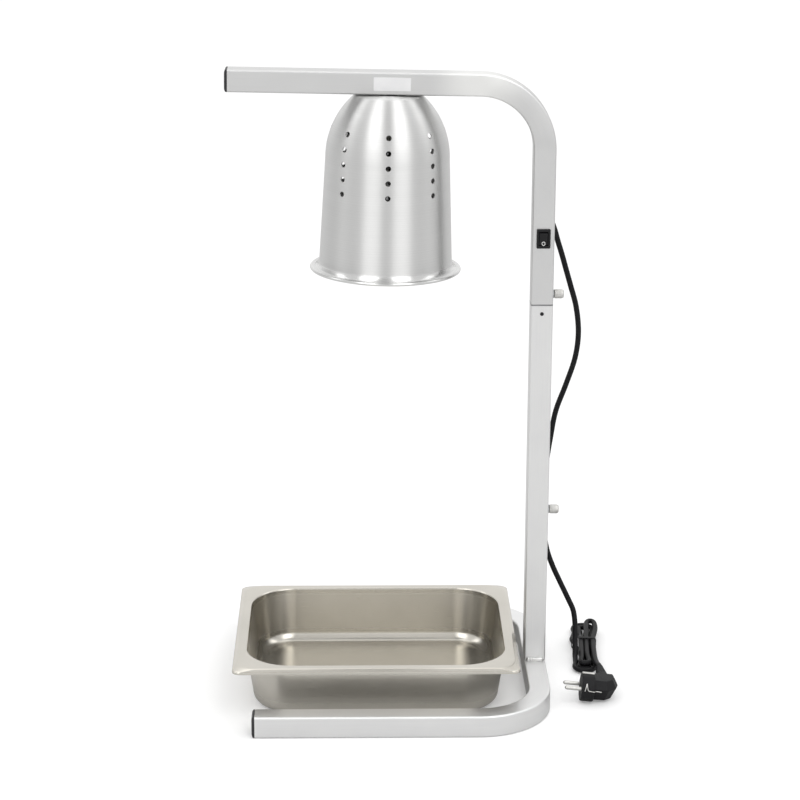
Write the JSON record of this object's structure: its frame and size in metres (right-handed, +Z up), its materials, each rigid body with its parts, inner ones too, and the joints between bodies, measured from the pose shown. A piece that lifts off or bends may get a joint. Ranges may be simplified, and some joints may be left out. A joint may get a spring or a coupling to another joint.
{
  "type": "food heat lamp",
  "caption": "Square tube stand with a telescoping post, a level arm and a vented bell shade that holds an infrared bulb over a rectangular food pan, with a rocker switch, cord and plug.",
  "frame": {"origin": "on the floor under the axis of the post, in the underside of the base's right run", "axes": "+Z up, -X from the post along the arm and the base rails, -Y to the front, which has the switch; the height joint's range starts at the lowest setting"},
  "size_m": [0.446, 0.344, 0.7211],
  "materials": {
    "satin_aluminium": "satin anodised",
    "spun_aluminium": "spun, bright with fine turning lines",
    "stainless_steel": "satin stainless",
    "black_plastic": "moulded, slight grain",
    "black_steel": "blackened",
    "zinc_steel": "zinc plated",
    "nickel_brass": "nickel plated",
    "bare_brass": "bare",
    "cord_rubber": "smooth sheath",
    "brown_insulation": "smooth",
    "blue_insulation": "smooth",
    "green_insulation": "smooth",
    "white_ceramic": "glazed ceramic",
    "bulb_glass": "frosted reflector glass",
    "stem_glass": "clear"
  },
  "bodies": {
    "base": {"base_frame": "satin_aluminium", "base_cap_front": "black_plastic", "base_cap_rear": "black_plastic", "lower_post": "satin_aluminium", "guide_bush": "black_plastic", "bush_screw": "black_steel", "lower_clinch_nut": "zinc_steel", "cord_drop": "cord_rubber", "cord_hank": "cord_rubber", "cord_tail": "cord_rubber", "hank_tie": "black_plastic", "plug_body": "black_plastic", "plug_pin_front": "nickel_brass", "plug_pin_rear": "nickel_brass", "plug_clip_lower": "nickel_brass", "plug_clip_upper": "nickel_brass"},
    "lower_screw": {"lower_thumb_screw": "nickel_brass"},
    "upper": {"arm_tube": "satin_aluminium", "slide_tube": "satin_aluminium", "packing_sleeve": "black_plastic", "arm_end_cap": "black_plastic", "upper_clinch_nut": "zinc_steel", "switch_housing": "black_plastic", "switch_terminal_upper": "bare_brass", "switch_terminal_lower": "bare_brass", "cord_outlet": "black_plastic", "earth_screw": "zinc_steel", "earth_lug": "bare_brass", "earth_nut": "zinc_steel", "lead_live_in": "brown_insulation", "lead_live_out": "brown_insulation", "lead_neutral": "blue_insulation", "lead_earth": "green_insulation", "shade_spacer": "black_plastic", "shade": "spun_aluminium", "nipple": "bare_brass", "arm_nut": "bare_brass", "shade_nut": "bare_brass", "holder_body": "white_ceramic", "holder_shell": "bare_brass", "holder_contact": "bare_brass"},
    "upper_screw": {"upper_thumb_screw": "nickel_brass"},
    "rocker": {"switch_rocker": "black_plastic"},
    "bulb": {"bulb_glass": "bulb_glass", "bulb_cap": "nickel_brass", "bulb_insulator": "black_plastic", "bulb_tip": "nickel_brass", "filament_mount": "stem_glass"},
    "pan": {"pan": "stainless_steel"}
  },
  "joints": [
    {"name": "height_slide", "type": "slide", "parent": "base", "child": "upper", "axis": [0, 0, 1], "range_m": [0, 0.15]},
    {"name": "lower_screw_turn", "type": "hinge", "parent": "base", "child": "lower_screw", "pos_m": [0.018, 0, 0.209], "axis": [1, 0, 0], "range_deg": [0, 360]},
    {"name": "upper_screw_turn", "type": "hinge", "parent": "upper", "child": "upper_screw", "pos_m": [0.018, 0, 0.466], "axis": [1, 0, 0], "range_deg": [0, 360]},
    {"name": "rocker_tilt", "type": "hinge", "parent": "upper", "child": "rocker", "pos_m": [0, -0.0113, 0.5324], "axis": [-1, 0, 0], "range_deg": [0, 16]},
    {"name": "bulb_turn", "type": "hinge", "parent": "upper", "child": "bulb", "pos_m": [-0.1726, 0, 0.69301], "axis": [-0.0175, 0, -0.9998], "range_deg": [0, 360]},
    {"name": "pan_lift", "type": "slide", "parent": "base", "child": "pan", "axis": [0, 0, 1], "range_m": [0, 0.1]}
  ]
}
